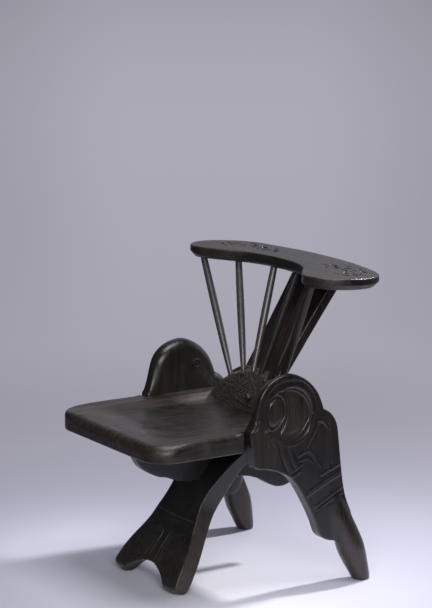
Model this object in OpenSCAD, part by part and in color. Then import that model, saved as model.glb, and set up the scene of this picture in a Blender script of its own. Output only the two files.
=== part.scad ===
/* [Seat] */
// Height of the seat rim above the floor
seat_h = 420; // [412:1:426]
// Thickness of the seat plank
seat_t = 49; // [44:1:54]
// Half width of the seat in front of the side panels
seat_half = 248; // [230:1:256]
// Depth of the scooped sitting area
scoop_d = 14; // [8:1:16]
// Radius of the two front corners of the seat
seat_corner = 70; // [40:1:90]

/* [Side panels] */
// Clear width between the two side panels
inner_w = 454; // [440:2:470]
// Thickness of each side panel
panel_t = 35; // [28:1:40]
// Depth of the housing that takes the edge of the seat
housing_d = 8; // [5:1:12]

/* [Rear feet] */
// Largest radius of each club foot
club_r = 35; // [30:1:38]
// Backward lean of each club foot, in degrees
club_lean = 19.8; // [14:0.1:22]
// Inward lean of each club foot, in degrees
club_cant = 4.6; // [0:0.1:8]

/* [Back] */
// Thickness of the crest rail
crest_t = 30; // [24:1:34]
// Backward fall of the crest rail, in degrees
crest_tilt = 3.2; // [0:0.1:5]
// Radius of the spindles at their middle
spindle_r = 9.8; // [8.6:0.1:10.6]
// Radius of the round tenon at the foot of each spindle
foot_tenon_r = 5.2; // [4:0.1:6]
// Radius of the round tenon at the head of each spindle
head_tenon_r = 6.4; // [5:0.1:7]

/* [Front leg] */
// Thickness of the spine board under the seat
spine_t = 28; // [22:1:34]

/* [Hidden] */
// Shift that puts the origin on the floor in the middle of the outline
y_mid = -82;
// Front edge of the seat, measured from the front of the side panels
seat_front = -259;
panel_in = inner_w / 2;
panel_out = panel_in + panel_t;
seat_bot = seat_h - seat_t;
scoop_z = seat_h - scoop_d;
wood = "#2a2320";
wood_dark = "#1f1a18";
wood_warm = "#33271f";
big = 900;

// A smooth closed loop through the given points
function cr(a, b, c, d, t) =
    0.5 * (2 * b + (c - a) * t + (2 * a - 5 * b + 4 * c - d) * t * t
           + (3 * b - a - 3 * c + d) * t * t * t);
function loop(p, n) = [for (i = [0 : len(p) - 1]) for (j = [0 : n - 1])
    cr(p[(i + len(p) - 1) % len(p)], p[i], p[(i + 1) % len(p)],
       p[(i + 2) % len(p)], j / n)];
// A smooth open path through the given points
function path(p, n) = concat([for (i = [0 : len(p) - 2]) for (j = [0 : n - 1])
    cr(p[max(i - 1, 0)], p[i], p[i + 1], p[min(i + 2, len(p) - 1)], j / n)],
    [p[len(p) - 1]]);
function flip(p) = [for (i = [len(p) - 1 : -1 : 0]) [-p[i][0], p[i][1]]];

// A shape drawn in Y and Z, extruded along X from x0 to x1
module along_x(x0, x1) {
    translate([x0, 0, 0]) rotate([90, 0, 90])
        linear_extrude(x1 - x0) children();
}
// A shape drawn in X and Z, extruded along Y from y0 to y1
module along_y(y0, y1) {
    translate([0, y1, 0]) rotate([90, 0, 0])
        linear_extrude(y1 - y0) children();
}
// A turned shape standing on point a and aimed at point b
module aim(a, b) {
    d = b - a;
    translate(a) rotate([0, acos(d[2] / norm(d)), atan2(d[1], d[0])])
        children();
}

// ---------------------------------------------------------------- seat

module seat_plan() {
    union() {
        translate([-seat_half, seat_front + seat_corner])
            square([2 * seat_half, -4 - seat_front - seat_corner]);
        translate([-seat_half + seat_corner, seat_front])
            square([2 * (seat_half - seat_corner), seat_corner + 1]);
        for (s = [-1, 1])
            translate([s * (seat_half - seat_corner), seat_front + seat_corner])
                circle(r = seat_corner, $fn = 96);
        translate([-panel_in, -10]) square([inner_w, 272]);
    }
}

// Cross-section of the plank, with a full round nose at the top front
module seat_profile() {
    r = 30;
    union() {
        translate([seat_front + r, seat_bot])
            square([262 - seat_front - r, seat_t]);
        translate([seat_front, seat_bot + 3]) square([r + 1, seat_t - r - 3]);
        translate([seat_front + r, seat_h - r]) circle(r = r, $fn = 96);
        translate([seat_front + 3, seat_bot]) square([r, seat_t - r]);
        translate([seat_front + 3, seat_bot + 3]) circle(r = 3, $fn = 48);
    }
}

module seat_blank() {
    difference() {
        intersection() {
            translate([0, 0, seat_bot - 5]) linear_extrude(seat_t + 10)
                seat_plan();
            along_x(-300, 300) seat_profile();
        }
        // scooped sitting area, open towards the back
        intersection() {
            along_y(-255, 300) polygon([[-150, scoop_z], [150, scoop_z],
                [196, seat_h + 0.01], [196, seat_h + 9],
                [-196, seat_h + 9], [-196, seat_h + 0.01]]);
            along_x(-200, 200) polygon([[-205, seat_h + 9],
                [-205, seat_h + 0.01], [-110, scoop_z], [300, scoop_z],
                [300, seat_h + 9]]);
        }
        // shallow housing that the boss stands in
        translate([-152, 166, scoop_z - 2]) cube([304, 90, 3]);
    }
}

module seat_tongue(s) {
    translate([s > 0 ? panel_in - 2 : -panel_in - housing_d, 30,
               seat_bot + 11])
        cube([housing_d + 2, 218, 28]);
}

module leg_tenons() {
    for (s = [-1, 1]) translate([s * 60 - 25, 131, 352]) cube([50, 20, 38]);
}

module spine_dowel(y) {
    translate([0, y, seat_bot - 22]) cylinder(r = 5, h = 40, $fn = 48);
}

module seat() {
    color(wood_warm) translate([0, y_mid, 0]) difference() {
        union() {
            seat_blank();
            seat_tongue(1);
            seat_tongue(-1);
        }
        leg_tenons();
        for (y = [-120, 30, 225]) spine_dowel(y);
    }
}

// --------------------------------------------------------- side panels

hump = path([[17, 334], [13, 360], [9, 392], [6, 419], [13, 432],
    [21, 454], [28, 481], [37, 509], [52, 530], [75, 545.5], [101, 554],
    [125, 556], [150, 548.5], [180, 530], [204, 503], [217, 476],
    [224, 456]], 4);
rump = path([[224, 456], [236, 449.5], [249, 439], [262, 419], [268, 395],
    [272, 360], [276, 317], [282, 270], [290, 230], [303, 182]], 4);
tongue = path([[303, 182], [296, 150], [282, 126], [262, 112.5], [248, 112],
    [234, 116.5], [221, 124.5], [212, 136], [201, 165], [186.5, 196],
    [172, 223], [156, 251], [140, 275], [120, 295], [92, 310], [62, 321],
    [30, 327], [17, 334]], 4);

module panel_outline() { polygon(concat(hump, rump, tongue)); }

module club() {
    translate([panel_out + 6, 340, 0]) rotate([club_lean, -club_cant, 0])
        rotate_extrude($fn = 96)
            polygon(concat([[0, -20], [15, -20]],
                path([[18.5, -8], [20.5, 0], [23.5, 12], [27, 31], [29.8, 48], [32.4, 64],
                      [club_r, 90], [club_r - 1, 120], [31, 157],
                      [26, 195], [17, 226], [6, 246]], 3), [[0, 250]]));
}

module panel() {
    difference() {
        union() {
            along_x(panel_in, panel_out) panel_outline();
            intersection() {
                club();
                translate([panel_in, 0, 0]) cube([200, 500, 400]);
            }
        }
        seat_tongue(1);
        hump_plug_stem(1);
        boss_dowel(1, 216);
        boss_dowel(1, 240);
    }
}

module side_panel_right() {
    color(wood) translate([0, y_mid, 0]) panel();
}
module side_panel_left() {
    color(wood) translate([0, y_mid, 0]) mirror([1, 0, 0]) panel();
}

// ------------------------------------------------------------ front leg

// Half outline of the leg seen square on, up the board
leg_half = path([[114, 338], [105, 303], [95.7, 272], [89.5, 240],
    [85, 208], [82, 183], [81.5, 160], [83.5, 140], [88.7, 120], [96, 97],
    [104, 71], [114.5, 46], [128, 15], [139, -19], [145, -45],
    [149, -62], [145, -71], [134, -76], [119, -77], [60, -77], [0, -77]], 3);

// Arch between the two lobes of the tail
leg_arch = path([[-99, -2], [-96, 8], [-88, 20], [-76, 29.5], [-60, 37.5],
    [-42, 44.5], [-22, 49.5], [0, 51], [22, 49.5], [42, 44.5], [60, 37.5],
    [76, 29.5], [88, 20], [96, 8], [99, -2]], 3);

// Side view of the board
leg_front = path([[126, 374], [102, 347], [76, 320.5], [55, 298.5],
    [33, 274], [12, 251], [-5, 231], [-18, 212], [-29, 196], [-40, 178],
    [-51, 158.5], [-64, 136.5], [-79, 115], [-97, 90.5], [-117, 64],
    [-132, 42], [-143.5, 22], [-147.5, 12], [-146, 5], [-141, 1],
    [-136, 0]], 3);
leg_rear = path([[-121, 0], [-112, 3], [-103, 10], [-93, 21], [-80, 39], [-61, 64], [-29, 106],
    [-9, 139], [13, 171.5], [37, 206.5], [54, 232], [79, 270],
    [102, 300], [130, 334], [163, 374]], 3);

module leg_blank() {
    lean = 36.6;
    intersection() {
        along_x(-160, 160) polygon(concat(leg_front, leg_rear));
        rotate([90 - lean, 0, 0]) translate([0, 0, -200])
            linear_extrude(500) polygon(concat([[-114, 500], [114, 500]],
                leg_half, flip(leg_half)));
        translate([-200, -300, 0]) cube([400, 600, seat_bot]);
    }
}

module front_leg() {
    color(wood_dark) translate([0, y_mid, 0]) difference() {
        union() {
            leg_blank();
            leg_tenons();
        }
        along_y(-300, 0) polygon(leg_arch);
        spine_blank(spine_t);
    }
}

// ------------------------------------------------- spine under the seat

spine_low = path([[-190, 371], [-184, 352], [-175, 330], [-166.7, 314],
    [-156.6, 301], [-143, 291], [-129.5, 282.6], [-114.6, 275], [-102, 270.5],
    [-85, 267.4], [-72.6, 262.5], [-60, 256.7], [-50, 252], [-28, 247.5], [0, 245], [60, 240], [110, 239], [152, 237], [176, 231], [200, 221],
    [222, 207.5], [245, 196.5], [268, 193.5], [290, 199], [309, 214],
    [320, 240], [319, 272], [308, 308], [291, 340], [266, 371]], 3);

module spine_blank(t) {
    along_x(-t / 2, t / 2) intersection() {
        polygon(concat(spine_low, [[266, 376], [-190, 376]]));
        translate([-300, 0]) square([700, seat_bot]);
    }
}

module seat_spine() {
    color(wood_dark) translate([0, y_mid, 0]) difference() {
        spine_blank(spine_t);
        for (y = [-120, 30, 225]) spine_dowel(y);
    }
}

module spine_dowels() {
    color("#8a6a45") translate([0, y_mid, 0])
        for (y = [-120, 30, 225]) spine_dowel(y);
}

// ------------------------------------------------------------ back boss

boss_front = path([[166, 408], [169, 425], [174, 455], [180, 478],
    [187, 495], [198, 507], [213, 512], [228, 512], [238, 506], [243, 494],
    [244, 476], [244, 456], [246, 438], [252, 420], [258, 402]], 3);

// Half of the arched outline of the carved front, and of the block behind it
front_arch = path([[212, 386], [200, 402], [187, 419], [171, 436],
    [142, 461], [118, 476], [94, 488], [65, 500], [42, 507], [0, 512]], 3);
rear_arch = path([[227, 408], [205, 425], [181, 443], [154, 464],
    [139, 477], [118, 489], [87, 502], [45, 510], [0, 513]], 3);

module boss_blank() {
    intersection() {
        along_x(-panel_in, panel_in)
            polygon(concat(boss_front, [[260, 390], [166, 390]]));
        along_y(150, 270) polygon(concat(front_arch, flip(front_arch)));
    }
    intersection() {
        along_x(-panel_in, panel_in)
            polygon(concat(boss_front, [[260, 390], [166, 390]]));
        along_y(205, 270) polygon(concat(rear_arch, flip(rear_arch),
            [[-panel_in, 386], [panel_in, 386]]));
    }
}

module boss_dowel(s, y) {
    translate([s > 0 ? panel_in - 22 : -panel_in - 20, y, 412])
        rotate([0, 90, 0]) cylinder(r = 5, h = 42, $fn = 48);
}

stud_at = [[51, 185.5, 490.5]];
function stud_pos(i, s) = [s * stud_at[i][0], stud_at[i][1], stud_at[i][2]];

module stud(p, r) {
    translate(p) rotate([68, 0, 0]) translate([0, 0, -12])
        cylinder(r = r * 0.5, h = 14, $fn = 32);
}
module stud_head(p, r) {
    translate(p) rotate([68, 0, 0]) intersection() {
        translate([0, 0, -r * 0.35]) sphere(r = r * 1.35, $fn = 48);
        translate([-r, -r, -3]) cube([2 * r, 2 * r, 3 * r]);
    }
}

module button_stem() {
    translate([0, 170, 441]) rotate([80, 0, 0]) translate([0, 0, -20])
        cylinder(r = 6, h = 24, $fn = 48);
}

module back_boss() {
    color(wood_dark) translate([0, y_mid, 0]) difference() {
        boss_blank();
        seat_blank();
        splat_foot();
        for (s = [-1, 1]) {
            for (i = [0 : 2]) spindle_foot_bore(i, s);
            stud(stud_pos(0, s), 5);
            boss_dowel(s, 216);
            boss_dowel(s, 240);
        }
        button_stem();
    }
}

module boss_studs() {
    color(wood) translate([0, y_mid, 0])
        for (s = [-1, 1]) {
            stud(stud_pos(0, s), 5);
            difference() {
                stud_head(stud_pos(0, s), 5);
                boss_blank();
            }
        }
}

// Turned button in the middle of the carved boss
module boss_button() {
    color(wood) translate([0, y_mid, 0]) difference() {
        union() {
            button_stem();
            translate([0, 170, 441]) rotate([80, 0, 0])
                rotate_extrude($fn = 64) polygon([[0, -4], [9, -4],
                    [10.5, 0], [10, 4], [7.5, 7], [4, 8.6], [0, 9]]);
        }
        boss_blank();
    }
    color(wood) translate([0, y_mid, 0]) intersection() {
        button_stem();
        boss_blank();
    }
}

module boss_dowels() {
    color("#8a6a45") translate([0, y_mid, 0]) for (s = [-1, 1]) {
        boss_dowel(s, 216);
        boss_dowel(s, 240);
    }
}

// ----------------------------------------------------------- back splat

splat_k = 0.671;
function splat_y(z) = 379.2 + splat_k * (z - 758.3);
splat_half = path([[75, 470], [77, 513], [79, 560], [82, 620], [86, 680],
    [90, 730], [93, 780]], 4);

module splat_board() {
    intersection() {
        along_x(-100, 100) polygon([[splat_y(490), 490],
            [splat_y(772), 772], [splat_y(772) + 27, 772 - 18],
            [splat_y(490) + 22, 490 - 14.6]]);
        along_y(100, 480) polygon(concat([[0, 470]], splat_half,
            [[0, 780]], flip(splat_half)));
    }
}

module splat_foot() {
    splat_board();
    translate([-50, 213, 446]) cube([100, 14, 60]);
}

module splat_head() {
    translate([-60, 381, 742]) cube([120, 15, 33]);
}

module back_splat() {
    color(wood_warm) translate([0, y_mid, 0]) union() {
        difference() {
            splat_foot();
            crest_blank();
        }
        splat_head();
    }
}

// ------------------------------------------------------------- spindles

spin_low = [[112, 188, 481], [61, 195, 496], [19, 199, 507]];
spin_top = [[247, 192, 766], [166, 248, 763.5], [52, 283, 761.5]];
function low_pt(i, s) = [s * spin_low[i][0], spin_low[i][1], spin_low[i][2]];
function top_pt(i, s) = [s * spin_top[i][0], spin_top[i][1], spin_top[i][2]];

module spindle_foot_bore(i, s) {
    aim(low_pt(i, s), top_pt(i, s)) translate([0, 0, -26])
        cylinder(r = foot_tenon_r, h = 56, $fn = 48);
}
module spindle_head_bore(i, s) {
    l = norm(spin_top[i] - spin_low[i]);
    aim(low_pt(i, s), top_pt(i, s)) translate([0, 0, l - 16])
        cylinder(r = head_tenon_r, h = 34, $fn = 48);
}

module spindle(i, s) {
    l = norm(spin_top[i] - spin_low[i]);
    difference() {
        aim(low_pt(i, s), top_pt(i, s)) rotate_extrude($fn = 64)
            polygon(concat([[0, -10]], path([[6.6, -10], [7, 14],
                [spindle_r - 1.2, l * 0.2], [spindle_r - 0.1, l * 0.45],
                [spindle_r, l * 0.65], [spindle_r - 0.5, l * 0.85],
                [spindle_r - 1.2, l + 4]], 3),
                [[0, l + 4]]));
        boss_blank();
        crest_blank();
    }
    aim(low_pt(i, s), top_pt(i, s)) translate([0, 0, -26])
        cylinder(r = foot_tenon_r, h = 50, $fn = 48);
    aim(low_pt(i, s), top_pt(i, s)) translate([0, 0, l - 16])
        cylinder(r = head_tenon_r, h = 34, $fn = 48);
}

module spindle_outer_right() { color(wood) translate([0, y_mid, 0]) spindle(0, 1); }
module spindle_outer_left() { color(wood) translate([0, y_mid, 0]) spindle(0, -1); }
module spindle_middle_right() { color(wood) translate([0, y_mid, 0]) spindle(1, 1); }
module spindle_middle_left() { color(wood) translate([0, y_mid, 0]) spindle(1, -1); }
module spindle_inner_right() { color(wood) translate([0, y_mid, 0]) spindle(2, 1); }
module spindle_inner_left() { color(wood) translate([0, y_mid, 0]) spindle(2, -1); }

// ----------------------------------------------------------- crest rail

crest_half = path([[0, 423], [60, 421], [120, 415], [180, 404],
    [220, 395], [258, 384], [290, 368], [315, 345], [331, 318],
    [340, 290], [342, 263], [338, 238], [329, 215], [313, 194],
    [292, 178], [268, 169], [251, 169], [232, 176], [206, 192],
    [180, 210], [150, 234], [118, 253], [85, 265], [45, 272],
    [0, 274.5]], 3);

module crest_blank() {
    translate([0, 292, 791]) rotate([-crest_tilt, 0, 0])
        translate([0, -292, -crest_t]) linear_extrude(crest_t)
            polygon(concat(crest_half, flip(crest_half)));
}

module crest_rail() {
    color(wood_dark) translate([0, y_mid, 0]) difference() {
        crest_blank();
        splat_head();
        for (s = [-1, 1]) for (i = [0 : 2]) spindle_head_bore(i, s);
    }
}

// ----------------------------------------------------- plugs in the humps

module hump_plug_stem(s) {
    translate([s > 0 ? panel_in - 1 : -panel_in - 17, 156, 489])
        rotate([0, 90, 0]) cylinder(r = 7, h = 18, $fn = 48);
}

module hump_plugs() {
    color(wood_warm) translate([0, y_mid, 0]) for (s = [-1, 1]) union() {
        hump_plug_stem(s);
        translate([s * panel_in, 156, 489]) rotate([0, -90 * s, 0])
            rotate_extrude($fn = 72) polygon([[0, 0], [13, 0], [13, 1.4],
                [11.5, 3], [9, 3], [8, 1.6], [4.4, 1.6], [3.4, 3],
                [0, 3.2]]);
    }
}

seat();
side_panel_right();
side_panel_left();
front_leg();
seat_spine();
back_boss();
back_splat();
spindle_outer_right();
spindle_outer_left();
spindle_middle_right();
spindle_middle_left();
spindle_inner_right();
spindle_inner_left();
crest_rail();
boss_studs();
boss_button();
hump_plugs();
boss_dowels();
spine_dowels();
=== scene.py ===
import math

import bpy
import numpy as np
from mathutils import Matrix, Vector


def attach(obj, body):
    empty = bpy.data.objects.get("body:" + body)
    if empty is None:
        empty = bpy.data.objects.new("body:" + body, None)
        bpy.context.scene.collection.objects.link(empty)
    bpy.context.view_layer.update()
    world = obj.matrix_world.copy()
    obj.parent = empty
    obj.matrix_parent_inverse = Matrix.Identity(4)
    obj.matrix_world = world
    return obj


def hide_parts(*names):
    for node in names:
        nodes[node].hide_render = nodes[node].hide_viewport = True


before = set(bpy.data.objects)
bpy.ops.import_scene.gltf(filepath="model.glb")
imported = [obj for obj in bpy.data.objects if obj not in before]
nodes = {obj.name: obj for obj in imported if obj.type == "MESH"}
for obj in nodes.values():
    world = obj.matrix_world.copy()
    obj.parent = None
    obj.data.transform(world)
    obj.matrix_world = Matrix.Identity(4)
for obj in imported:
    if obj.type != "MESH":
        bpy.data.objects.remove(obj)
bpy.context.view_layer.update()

# All drawing below is in millimetres, with y = 0 at the front of the side
# panels. A point goes to the row frame with to_frame().
SHIFT = -82.0
FINE = 1.0


def to_frame(p):
    q = np.array(p, float)
    q[:, 1] += SHIFT
    return q * 0.001


# ------------------------------------------------------------ drawing helpers

def path(pts, n=4):
    p = [np.array(q, float) for q in pts]
    m = len(p)
    out = []
    for i in range(m - 1):
        a, b, c, d = p[max(i - 1, 0)], p[i], p[i + 1], p[min(i + 2, m - 1)]
        for j in range(n):
            t = j / n
            out.append(0.5 * (2 * b + (c - a) * t + (2 * a - 5 * b + 4 * c - d) * t * t
                              + (3 * b - a - 3 * c + d) * t ** 3))
    out.append(p[-1])
    return np.array(out)


def loop(pts, n=4):
    p = [np.array(q, float) for q in pts]
    m = len(p)
    out = []
    for i in range(m):
        a, b, c, d = p[i - 1], p[i], p[(i + 1) % m], p[(i + 2) % m]
        for j in range(n):
            t = j / n
            out.append(0.5 * (2 * b + (c - a) * t + (2 * a - 5 * b + 4 * c - d) * t * t
                              + (3 * b - a - 3 * c + d) * t ** 3))
    return np.array(out)


def arc(cx, cy, r, a0, a1, n=24):
    t = np.radians(np.linspace(a0, a1, n))
    return np.stack([cx + r * np.cos(t), cy + r * np.sin(t)], 1)


def flip(pts):
    q = np.array(pts, float)[::-1].copy()
    q[:, 0] *= -1
    return q


def smooth(t):
    t = np.clip(t, 0, 1)
    return t * t * (3 - 2 * t)


def seg_dist(pts, u, v, closed=False):
    d2 = np.full(u.shape, 1e12)
    m = len(pts)
    for i in range(m if closed else m - 1):
        ax, ay = pts[i]
        bx, by = pts[(i + 1) % m]
        ex, ey = bx - ax, by - ay
        t = np.clip(((u - ax) * ex + (v - ay) * ey) / (ex * ex + ey * ey + 1e-9), 0, 1)
        np.minimum(d2, (u - ax - t * ex) ** 2 + (v - ay - t * ey) ** 2, out=d2)
    return np.sqrt(d2)


def inside(pts, u, v):
    r = np.zeros(u.shape, bool)
    m = len(pts)
    for i in range(m):
        ax, ay = pts[i]
        bx, by = pts[(i + 1) % m]
        if ay == by:
            continue
        c = (ay <= v) != (by <= v)
        r ^= c & (u < ax + (v - ay) / (by - ay) * (bx - ax))
    return r


def signed(pts, u, v):
    d = seg_dist(pts, u, v, closed=True)
    return np.where(inside(pts, u, v), -d, d)


class Sheet:
    """A value over a flat area, drawn with lines and regions, read anywhere."""

    def __init__(self, u0, u1, v0, v1, h=1.0):
        self.u0, self.v0, self.h = u0, v0, h
        nu, nv = int(round((u1 - u0) / h)) + 1, int(round((v1 - v0) / h)) + 1
        self.u = (u0 + h * np.arange(nu))[:, None] + np.zeros((1, nv))
        self.v = (v0 + h * np.arange(nv))[None, :] + np.zeros((nu, 1))
        self.a = np.zeros((nu, nv))

    def win(self, p, pad):
        p = np.asarray(p, float)
        n = self.a.shape
        i0 = max(int((p[:, 0].min() - pad - self.u0) / self.h), 0)
        i1 = min(int((p[:, 0].max() + pad - self.u0) / self.h) + 2, n[0])
        j0 = max(int((p[:, 1].min() - pad - self.v0) / self.h), 0)
        j1 = min(int((p[:, 1].max() + pad - self.v0) / self.h) + 2, n[1])
        return slice(i0, i1), slice(j0, j1)

    def line(self, pts, w, h, n=4, raw=False, taper=False):
        """A rounded ridge (h > 0) or groove (h < 0) along a line."""
        p = np.asarray(pts, float) if raw else path(pts, n)
        s = self.win(p, 3.2 * w)
        u, v = self.u[s], self.v[s]
        d = seg_dist(p, u, v)
        k = 1.0
        if taper:
            e = p[-1] - p[0]
            t = np.clip(((u - p[0][0]) * e[0] + (v - p[0][1]) * e[1]) / (e @ e), 0, 1)
            k = smooth(t / 0.3) * smooth((1 - t) / 0.45) * 0.85 + 0.15
        self.a[s] += h * k * np.exp(-(d / w) ** 2)

    def region(self, pts, h, soft, raw=False, n=4):
        """Raises or sinks a closed region, with a wall about 2 * soft wide."""
        p = np.asarray(pts, float) if raw else loop(pts, n)
        s = self.win(p, soft * 2 + 2)
        sd = signed(p, self.u[s], self.v[s])
        self.a[s] += h * smooth(0.5 - sd / (2 * soft))

    def dome(self, pts, h, soft, raw=False, n=4):
        """A cushion-shaped raised region, full height `soft` inside its edge."""
        p = np.asarray(pts, float) if raw else loop(pts, n)
        s = self.win(p, 3)
        t = np.clip(-signed(p, self.u[s], self.v[s]) / soft, 0, 1)
        self.a[s] += h * np.sqrt(np.clip(1 - (1 - t) ** 2, 0, 1))

    def blob(self, cu, cv, ru, rv, h):
        q = ((self.u - cu) / ru) ** 2 + ((self.v - cv) / rv) ** 2
        self.a += h * np.exp(-q * 1.4)

    def at(self, u, v):
        n = self.a.shape
        fu = np.clip((u - self.u0) / self.h, 0, n[0] - 1.001)
        fv = np.clip((v - self.v0) / self.h, 0, n[1] - 1.001)
        i, j = fu.astype(int), fv.astype(int)
        fu, fv = fu - i, fv - j
        a = self.a
        return (a[i, j] * (1 - fu) * (1 - fv) + a[i + 1, j] * fu * (1 - fv)
                + a[i, j + 1] * (1 - fu) * fv + a[i + 1, j + 1] * fu * fv)


def outline(pts, pad=14, h=1.5):
    """Signed distance to a closed outline, over its own area."""
    p = np.asarray(pts, float)
    s = Sheet(p[:, 0].min() - pad, p[:, 0].max() + pad,
              p[:, 1].min() - pad, p[:, 1].max() + pad, h)
    s.a = signed(p, s.u, s.v)
    return s


def rounded(a, b, r):
    """Where two solids meet, with their shared edge rounded to radius r."""
    wa, wb = np.maximum(a + r, 0), np.maximum(b + r, 0)
    return np.minimum(np.maximum(a + r, b + r), 0) + np.sqrt(wa * wa + wb * wb) - r


def blend_in(a, b, k):
    """Two solids joined with a soft fillet."""
    h = np.clip(0.5 + 0.5 * (b - a) / k, 0, 1)
    return b * (1 - h) + a * h - k * h * (1 - h)


def wobble(x, y, z, s=1.0):
    """The slow unevenness that hand tools leave."""
    return s * (0.30 * np.sin(x / 31 + 1.3 + 0.6 * np.sin(z / 47)) * np.sin(y / 37 + 0.7)
                + 0.22 * np.sin(z / 29 + 2.1 + 0.8 * np.sin(y / 53)) * np.cos(x / 43 + y / 61)
                + 0.12 * np.sin(x / 13 + y / 17 + z / 19))


# ------------------------------------------------------------- surfaces

def surface(f, lo, hi, h, block=8):
    """Vertices and quads of the surface f = 0, found on a grid of step h."""
    lo, hi = np.array(lo, float), np.array(hi, float)
    nb = np.ceil((hi - lo) / (h * block)).astype(int)
    n = nb * block
    F = np.empty(n + 1, np.float32)
    c = [lo[k] + h * block * (np.arange(nb[k]) + 0.5) for k in range(3)]
    C = np.stack(np.meshgrid(*c, indexing="ij"), -1).reshape(-1, 3)
    fc = f(C).reshape(nb)
    near = np.abs(fc) < 0.5 * math.sqrt(3) * block * h * 1.15 + 3
    sign = np.where(fc < 0, -50.0, 50.0)
    full = sign
    for k in range(3):
        full = np.repeat(full, block, axis=k)
    F[:-1, :-1, :-1] = full
    F[-1], F[:, -1], F[:, :, -1] = 50, 50, 50
    g = np.arange(block + 1)
    G = np.stack(np.meshgrid(g, g, g, indexing="ij"), -1).reshape(-1, 3)
    B = np.argwhere(near) * block
    for s in range(0, len(B), 1500):
        I = (B[s:s + 1500, None, :] + G[None]).reshape(-1, 3)
        F[I[:, 0], I[:, 1], I[:, 2]] = f(lo + h * I)
    S = F < 0
    corner = [(i, j, k) for i in (0, 1) for j in (0, 1) for k in (0, 1)]
    part = lambda A, o: A[o[0]:A.shape[0] - 1 + o[0], o[1]:A.shape[1] - 1 + o[1],
                          o[2]:A.shape[2] - 1 + o[2]]
    count = sum(part(S, o).astype(np.int8) for o in corner)
    cell = np.argwhere((count > 0) & (count < 8))
    ids = np.full(count.shape, -1, np.int64)
    ids[cell[:, 0], cell[:, 1], cell[:, 2]] = np.arange(len(cell))
    acc, num = np.zeros((len(cell), 3)), np.zeros(len(cell))
    val = {o: F[cell[:, 0] + o[0], cell[:, 1] + o[1], cell[:, 2] + o[2]].astype(float)
           for o in corner}
    for a in corner:
        for k in range(3):
            if a[k]:
                continue
            b = list(a)
            b[k] = 1
            fa, fb = val[a], val[tuple(b)]
            m = (fa < 0) != (fb < 0)
            t = np.where(m, fa / np.where(m, fa - fb, 1), 0)
            q = np.array(a, float)[None] + np.zeros((len(cell), 3))
            q[:, k] += t
            acc += np.where(m[:, None], q, 0)
            num += m
    P = lo + h * (cell + acc / num[:, None])
    quads = []
    for k in range(3):
        i, j = (k + 1) % 3, (k + 2) % 3
        sl0 = [slice(None)] * 3
        sl1 = [slice(None)] * 3
        sl0[k], sl1[k] = slice(0, -1), slice(1, None)
        for ax in (i, j):
            sl0[ax] = sl1[ax] = slice(1, -1)
        A, Bv = S[tuple(sl0)], S[tuple(sl1)]
        for up in (False, True):
            e = np.argwhere(A & ~Bv if up else ~A & Bv)
            e[:, i] += 1
            e[:, j] += 1
            q = []
            for di, dj in ((1, 1), (0, 1), (0, 0), (1, 0)):
                w = e.copy()
                w[:, i] -= di
                w[:, j] -= dj
                q.append(ids[w[:, 0], w[:, 1], w[:, 2]])
            q = np.stack(q, 1)
            quads.append(q if up else q[:, ::-1])
    Q = np.concatenate(quads)
    Q = Q[(Q >= 0).all(1)]
    for _ in range(2):          # settle the vertices on the true surface
        e = 0.25 * h
        f0 = f(P)
        g = np.stack([f(P + np.array(d) * e) - f(P - np.array(d) * e)
                      for d in ((1, 0, 0), (0, 1, 0), (0, 0, 1))], 1) / (2 * e)
        g2 = np.maximum((g * g).sum(1), 0.2)
        step = -(f0 / g2)[:, None] * g
        size = np.linalg.norm(step, axis=1, keepdims=True)
        P = P + step * np.minimum(1, 0.35 * h / np.maximum(size, 1e-9))
    used = np.unique(Q)
    new = np.full(len(P), -1)
    new[used] = np.arange(len(used))
    return P[used], new[Q]


def relax(values, edges, n, times):
    for _ in range(times):
        s = np.bincount(edges[:, 0], values[edges[:, 1]], n) + \
            np.bincount(edges[:, 1], values[edges[:, 0]], n)
        c = np.bincount(edges[:, 0], minlength=n) + np.bincount(edges[:, 1], minlength=n)
        values = 0.5 * values + 0.5 * s / np.maximum(c, 1)
    return values


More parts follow.
